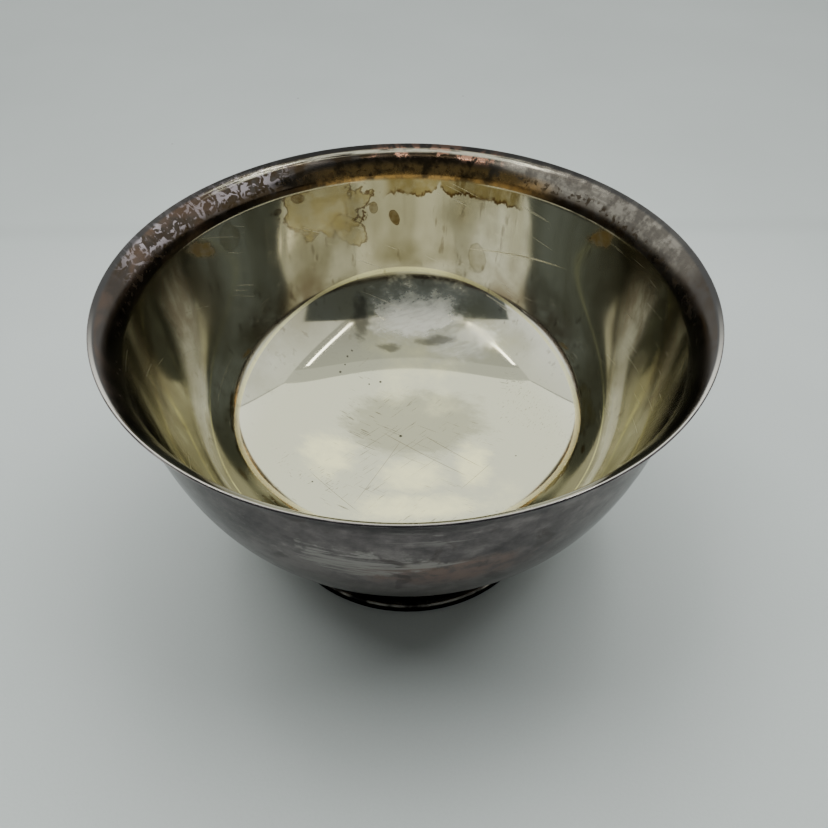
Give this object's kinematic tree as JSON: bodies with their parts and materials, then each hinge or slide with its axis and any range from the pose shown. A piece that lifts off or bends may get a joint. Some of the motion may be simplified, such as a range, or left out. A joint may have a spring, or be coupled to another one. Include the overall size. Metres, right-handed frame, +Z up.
{
  "type": "footed bowl",
  "caption": "Round footed silver bowl with a deep smooth body, a flared lip and a spreading ring foot soldered under it.",
  "frame": {"origin": "middle of the circle that the foot stands on, on the surface it rests on", "axes": "+Z up along the bowl's axis; the bowl is round, so +X and +Y are any two level directions at right angles"},
  "size_m": [0.203, 0.203, 0.114],
  "materials": {
    "bowl_silver": "polished silver, worn, with warm tarnish",
    "foot_silver": "polished silver under dark tarnish",
    "solder": "dull grey hard solder"
  },
  "bodies": {
    "root": {"bowl_body": "bowl_silver", "foot_ring": "foot_silver", "solder_seam": "solder"}
  },
  "joints": []
}
